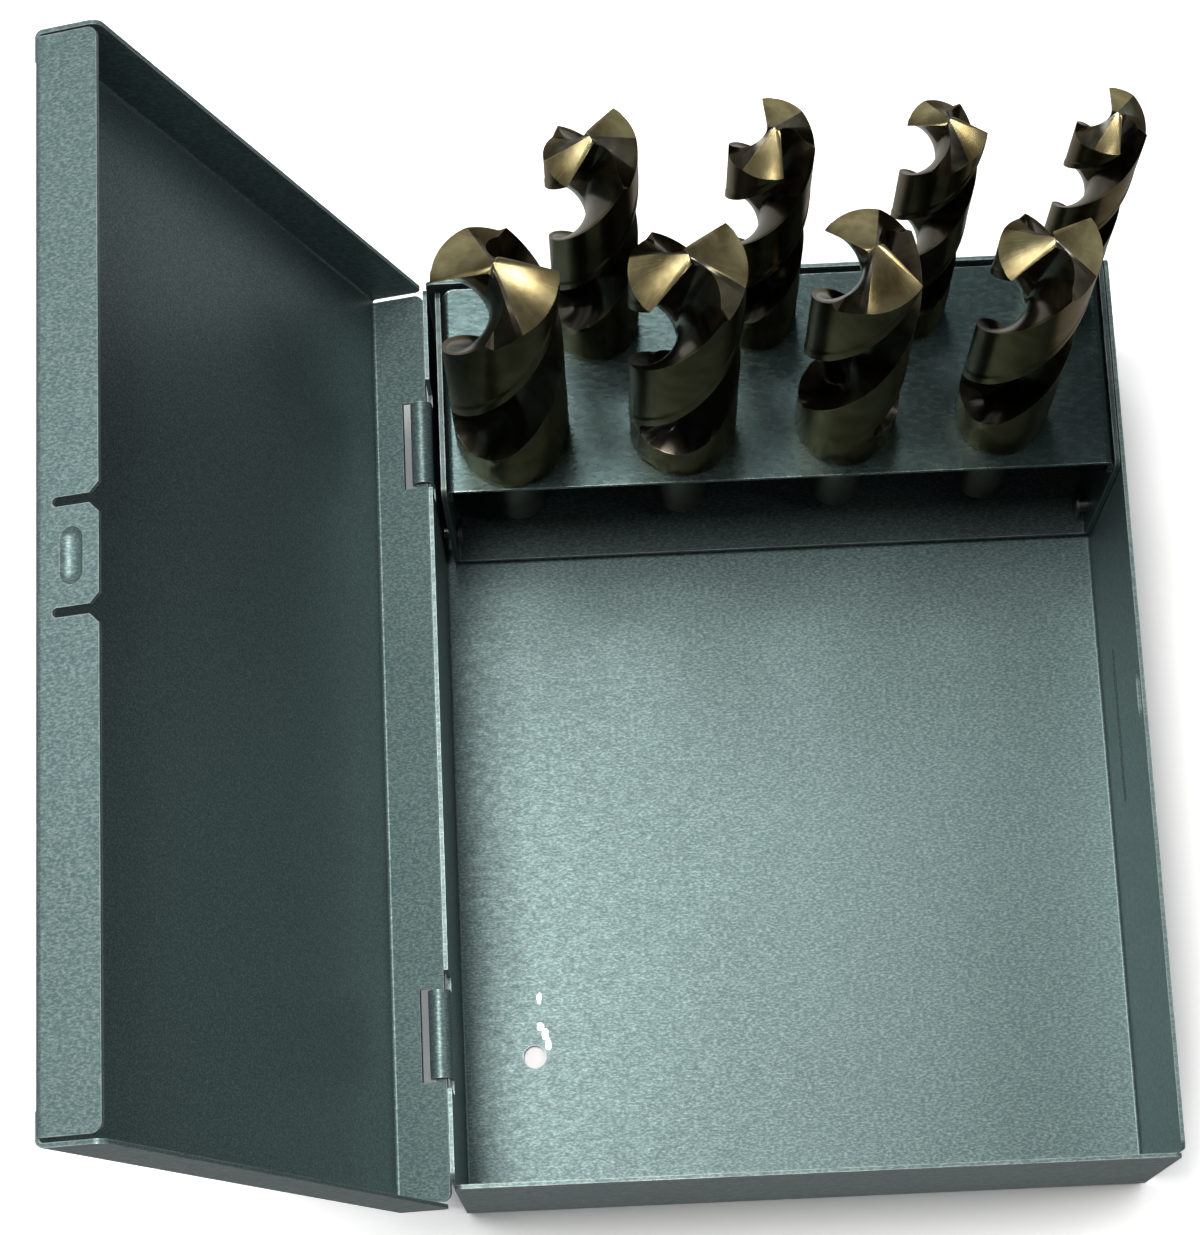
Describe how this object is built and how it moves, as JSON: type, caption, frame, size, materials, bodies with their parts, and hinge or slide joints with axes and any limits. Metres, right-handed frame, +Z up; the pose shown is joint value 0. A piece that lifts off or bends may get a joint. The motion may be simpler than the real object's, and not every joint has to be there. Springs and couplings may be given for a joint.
{
  "type": "drill bit case",
  "caption": "Folded sheet-steel drill bit case with a shallow hinged lid, a snap latch and a fold-up rack that holds reduced-shank twist drills upright.",
  "frame": {"origin": "middle of the tray's underside", "axes": "+Z up out of the open tray, +X from the hinge wall to the latch wall, +Y toward the rack at the far wall"},
  "size_m": [0.2205, 0.2082, 0.1996],
  "materials": {
    "case_paint": "satin speckled enamel",
    "rack_paint": "satin speckled enamel",
    "rivet_steel": "plated",
    "drill_steel": "oxide-coated flutes, gold ground points"
  },
  "bodies": {
    "tray": {"base_tray": "case_paint", "left_pivot_rivet": "rivet_steel", "right_pivot_rivet": "rivet_steel"},
    "lid": {"lid": "case_paint"},
    "rack": {"rack_cradle": "rack_paint", "rack_top_plate": "rack_paint"},
    "body_drill_1_inch": {"drill_1_inch": "drill_steel"},
    "body_drill_15_16_inch": {"drill_15_16_inch": "drill_steel"},
    "body_drill_7_8_inch": {"drill_7_8_inch": "drill_steel"},
    "body_drill_13_16_inch": {"drill_13_16_inch": "drill_steel"},
    "body_drill_3_4_inch": {"drill_3_4_inch": "drill_steel"},
    "body_drill_11_16_inch": {"drill_11_16_inch": "drill_steel"},
    "body_drill_5_8_inch": {"drill_5_8_inch": "drill_steel"},
    "body_drill_9_16_inch": {"drill_9_16_inch": "drill_steel"}
  },
  "joints": [
    {"name": "lid_hinge", "type": "hinge", "parent": "tray", "child": "lid", "pos_m": [-0.07905, -0.0011, 0.0498], "axis": [0, -1, 0], "range_deg": [-28, 0]},
    {"name": "rack_fold", "type": "hinge", "parent": "tray", "child": "rack", "pos_m": [0, 0.0565, 0.0105], "axis": [-1, 0, 0], "range_deg": [-90, 0]},
    {"name": "lift_drill_1_inch", "type": "slide", "parent": "rack", "child": "body_drill_1_inch", "axis": [0, 0, 1], "range_m": [0, 0.052]},
    {"name": "lift_drill_15_16_inch", "type": "slide", "parent": "rack", "child": "body_drill_15_16_inch", "axis": [0, 0, 1], "range_m": [0, 0.052]},
    {"name": "lift_drill_7_8_inch", "type": "slide", "parent": "rack", "child": "body_drill_7_8_inch", "axis": [0, 0, 1], "range_m": [0, 0.052]},
    {"name": "lift_drill_13_16_inch", "type": "slide", "parent": "rack", "child": "body_drill_13_16_inch", "axis": [0, 0, 1], "range_m": [0, 0.052]},
    {"name": "lift_drill_3_4_inch", "type": "slide", "parent": "rack", "child": "body_drill_3_4_inch", "axis": [0, 0, 1], "range_m": [0, 0.052]},
    {"name": "lift_drill_11_16_inch", "type": "slide", "parent": "rack", "child": "body_drill_11_16_inch", "axis": [0, 0, 1], "range_m": [0, 0.052]},
    {"name": "lift_drill_5_8_inch", "type": "slide", "parent": "rack", "child": "body_drill_5_8_inch", "axis": [0, 0, 1], "range_m": [0, 0.052]},
    {"name": "lift_drill_9_16_inch", "type": "slide", "parent": "rack", "child": "body_drill_9_16_inch", "axis": [0, 0, 1], "range_m": [0, 0.052]}
  ]
}
